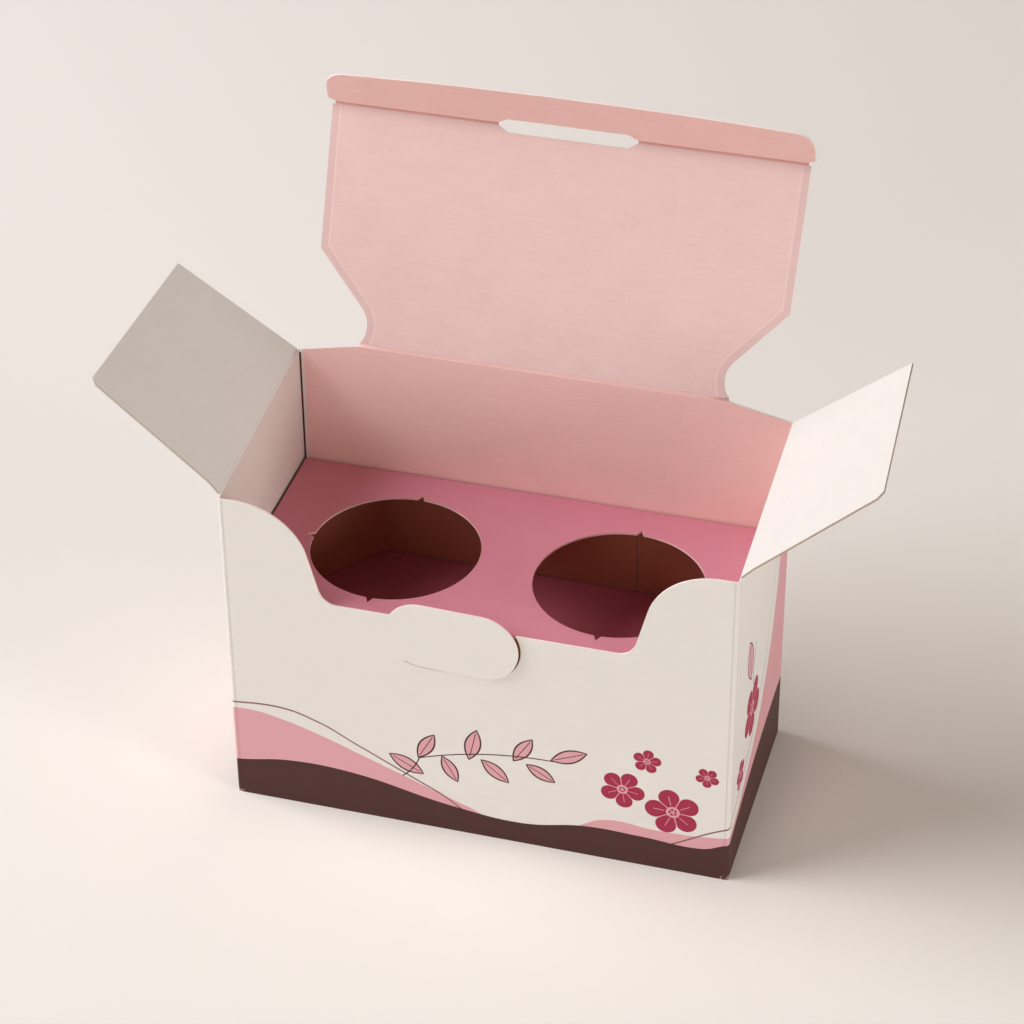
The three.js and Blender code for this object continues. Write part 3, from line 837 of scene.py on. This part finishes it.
def crease(name, bodies, origin, along, up, out, length, turn, wall_gap, flap_gap, inner):
    """A strip from a wall's edge to a flap that turns towards out from the wall's plane.

    inner is the way that the strip's inner face looks, and that face's material.
    """
    shape = bmesh.new()
    steps = int(length / CREASE_STEP) + 1
    bmesh.ops.create_grid(shape, x_segments=steps, y_segments=CREASE_ROWS, size=0.5)
    wall_run = wall_gap + HIDDEN
    flap_run = flap_gap + HIDDEN
    flap_way = up * math.cos(turn) + out * math.sin(turn)
    for vertex in shape.verts:
        share = vertex.co.y + 0.5
        from_wall = max(0.0, 1 - share * 2)
        to_flap = max(0.0, share * 2 - 1)
        bend = 4 * share * (1 - share) * CREASE_SWELL
        corner = (flap_way - up).normalized() if turn > 0.01 else out
        place = origin - up * (wall_run * from_wall) + flap_way * (flap_run * to_flap)
        vertex.co = place + along * (vertex.co.x * length) + corner * bend
    shape.normal_update()
    inside, material = inner
    if shape.faces[:][0].normal.dot(inside) < 0:
        bmesh.ops.reverse_faces(shape, faces=shape.faces)
    mesh = bpy.data.meshes.new(name)
    shape.to_mesh(mesh)
    shape.free()
    mesh.materials.append(material)
    mesh.materials.append(plain_outside)
    for polygon in mesh.polygons:
        polygon.use_smooth = True
    piece = bpy.data.objects.new(name, mesh)
    bpy.context.scene.collection.objects.link(piece)
    solid = piece.modifiers.new("thickness", "SOLIDIFY")
    solid.thickness = CREASE_BOARD
    solid.offset = 0
    solid.material_offset = 1
    origin - up * wall_gap
    origin + flap_way * flap_gap
    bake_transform(piece)
    print(name, "joins", " and ".join(bodies))


# %% Crease strips
ACROSS = Vector((1, 0, 0))
REARWARD = Vector((0, 1, 0))
UPWARD = Vector((0, 0, 1))
LID_CREASE_LENGTH = 2 * (LID_CREASE_HALF - 0.3 * MM)
TUCK_CREASE_START = SLOT_HALF - 1.0 * MM  # blunts the slot's pointed ends
TUCK_CREASE_END = 79.2 * MM
DUST_CREASE_START, DUST_CREASE_END = 1.9 * MM, 78.8 * MM  # along the side wall's top
lid_way = lid_direction(LID_ANGLE)
slope_way = Vector((0, math.cos(SIDE_SLOPE), math.sin(SIDE_SLOPE)))
slope_up = Vector((0, -math.sin(SIDE_SLOPE), math.cos(SIDE_SLOPE)))
crease(
    "lid_crease_strip", ("carton", "lid"), LID_AXIS, ACROSS, UPWARD, REARWARD,
    LID_CREASE_LENGTH, math.pi / 2 - LID_ANGLE, CREASE_LIFT, LID_SETBACK,
    (-REARWARD, pink_wall),
)
for side, hand in (("left", -1), ("right", 1)):
    middle = hand * (TUCK_CREASE_START + TUCK_CREASE_END) / 2
    # The tuck crease's darker pink is painted shade in the fold
    crease(
        side + "_tuck_crease_strip", ("lid", "tuck"), TUCK_AXIS + ACROSS * middle, ACROSS,
        lid_way, lid_inward, TUCK_CREASE_END - TUCK_CREASE_START, TUCK_ANGLE, TUCK_SETBACK,
        TUCK_SETBACK, (lid_inward, pink_crease_shade),
    )
    angle = FLAP_ANGLES[side]
    root = Vector((hand * (HALF_WIDTH - BOARD / 2), -HALF_DEPTH, SHOULDER_HEIGHT + CREASE_LIFT))
    crease(
        side + "_dust_crease_strip", ("carton", side + "_flap"),
        root + slope_way * (DUST_CREASE_START + DUST_CREASE_END) / 2, slope_way, slope_up,
        ACROSS * hand, DUST_CREASE_END - DUST_CREASE_START, math.pi / 2 - angle,
        CREASE_LIFT, DUST_FLAP_SETBACK, (ACROSS * -hand, inside_white),
    )

# %% [markdown]
# ## Floor and light
#
# A plain pale sweep carries the carton. One large soft lamp stands to the left and a
# little in front, so shadows stay soft and fall to the right. Two weak lamps lift the
# right side and the front, and a faint warm sky fills the shadows. Far from the carton
# the floor fades into the backdrop, so that no edge of it shows in a low view: only rays
# that look at the backdrop see it, and it lights nothing.

# %% What a ray sees far away
FLOOR_COLOUR = screen_colour(252, 245, 237)
FADE_START, FADE_LENGTH = 1.0, 2.0  # metres from the carton


def backdrop_mix(tree, surface, share=None):
    """Shows rays that look at the backdrop a plain pale colour, and no other ray."""
    backdrop = tree.nodes.new("ShaderNodeEmission")
    backdrop.inputs["Color"].default_value = FLOOR_COLOUR
    backdrop.inputs["Strength"].default_value = 1
    path = tree.nodes.new("ShaderNodeLightPath")
    seen = union([
        Amount(tree, path.outputs[ray])
        for ray in ("Is Camera Ray", "Is Glossy Ray", "Is Transmission Ray")
    ])
    if share is not None:
        seen = seen * share
    mix = tree.nodes.new("ShaderNodeMixShader")
    tree.links.new(seen.socket, mix.inputs[0])
    tree.links.new(surface, mix.inputs[1])
    tree.links.new(backdrop.outputs[0], mix.inputs[2])
    end = next(n for n in tree.nodes if n.type in ("OUTPUT_MATERIAL", "OUTPUT_WORLD"))
    tree.links.new(mix.outputs[0], end.inputs["Surface"])


# %% Floor
FLOOR_REACH = 15  # metres each way from the carton
floor_shape = bmesh.new()
bmesh.ops.create_grid(floor_shape, x_segments=1, y_segments=1, size=FLOOR_REACH)
floor_mesh = bpy.data.meshes.new("floor")
floor_shape.to_mesh(floor_mesh)
floor_shape.free()
floor = bpy.data.objects.new("floor", floor_mesh)
bpy.context.scene.collection.objects.link(floor)
floor_material, floor_tree, floor_shader = begin("pale_floor")
floor_shader.inputs["Base Color"].default_value = FLOOR_COLOUR
floor_shader.inputs["Roughness"].default_value = 0.9
floor_shader.inputs["Specular IOR Level"].default_value = 0.1
spot = floor_tree.nodes.new("ShaderNodeTexCoord")
length = floor_tree.nodes.new("ShaderNodeVectorMath")
length.operation = "LENGTH"
floor_tree.links.new(spot.outputs["Object"], length.inputs[0])
far = (Amount(floor_tree, length.outputs["Value"]) - FADE_START) / FADE_LENGTH
backdrop_mix(floor_tree, floor_shader.outputs[0], far.larger(0.0).smaller(1.0))
floor_mesh.materials.append(floor_material)
print("floor fades away from", FADE_START, "to", FADE_START + FADE_LENGTH, "m")

# %% Sky
scene = bpy.context.scene
world = bpy.data.worlds.new("studio")
world.use_nodes = True
sky = world.node_tree.nodes["Background"]
sky.inputs["Color"].default_value = (1.0, 0.85, 0.7, 1)
sky.inputs["Strength"].default_value = 0.18
backdrop_mix(world.node_tree, sky.outputs[0])
scene.world = world


# %% Lamps
LAMP_TARGET = (0, 0, 0.08)


def softbox(name, place, size, power, colour=(1.0, 1.0, 1.0)):
    lamp = bpy.data.lights.new(name, "AREA")
    lamp.shape = "DISK"
    lamp.size = size
    lamp.energy = power
    lamp.color = colour
    holder = bpy.data.objects.new(name, lamp)
    scene.collection.objects.link(holder)
    holder.location = place
    holder.rotation_mode = "QUATERNION"
    aim = Vector(LAMP_TARGET) - Vector(place)
    holder.rotation_quaternion = aim.to_track_quat("-Z", "Y")
    print(name, "gives", power, "W from", place)


softbox("key_softbox", (-2.6, -0.52, 1.97), 3.0, 120.0, (0.97, 0.99, 1.045))
softbox("right_fill", (2.4, -0.9, 0.6), 1.0, 28.0)
softbox("front_fill", (-0.35, -2.5, 1.0), 1.5, 8.6)

# %% [markdown]
# ## Camera
#
# The camera looks down from the front and a little from the right, through a long lens.
# A long lens keeps upright edges nearly parallel. Two angles and a slight roll give the
# way it looks, and its place is a distance back from the point that it looks at.

# %% Camera
CAMERA_TARGET = Vector((0.00099, 0, 0.10501))
CAMERA_DISTANCE = 1.03725
camera_data = bpy.data.cameras.new("camera")
camera = bpy.data.objects.new("camera", camera_data)
scene.collection.objects.link(camera)
camera_data.sensor_width = 36
camera_data.lens = 112.5
azimuth, elevation, roll = math.radians(16.09), math.radians(35.71), math.radians(-0.47)
back = Vector((
    math.sin(azimuth) * math.cos(elevation), -math.cos(azimuth) * math.cos(elevation),
    math.sin(elevation),
))
level = Vector((math.cos(azimuth), math.sin(azimuth), 0))
rise = back.cross(level)
right = level * math.cos(roll) + rise * math.sin(roll)
upward = rise * math.cos(roll) - level * math.sin(roll)
rows = Matrix((right, upward, back)).transposed().to_4x4()
camera.matrix_world = Matrix.Translation(CAMERA_TARGET + back * CAMERA_DISTANCE) @ rows
scene.camera = camera
scene.view_settings.view_transform = "Standard"
print("camera at", [round(part, 3) for part in camera.matrix_world.translation])
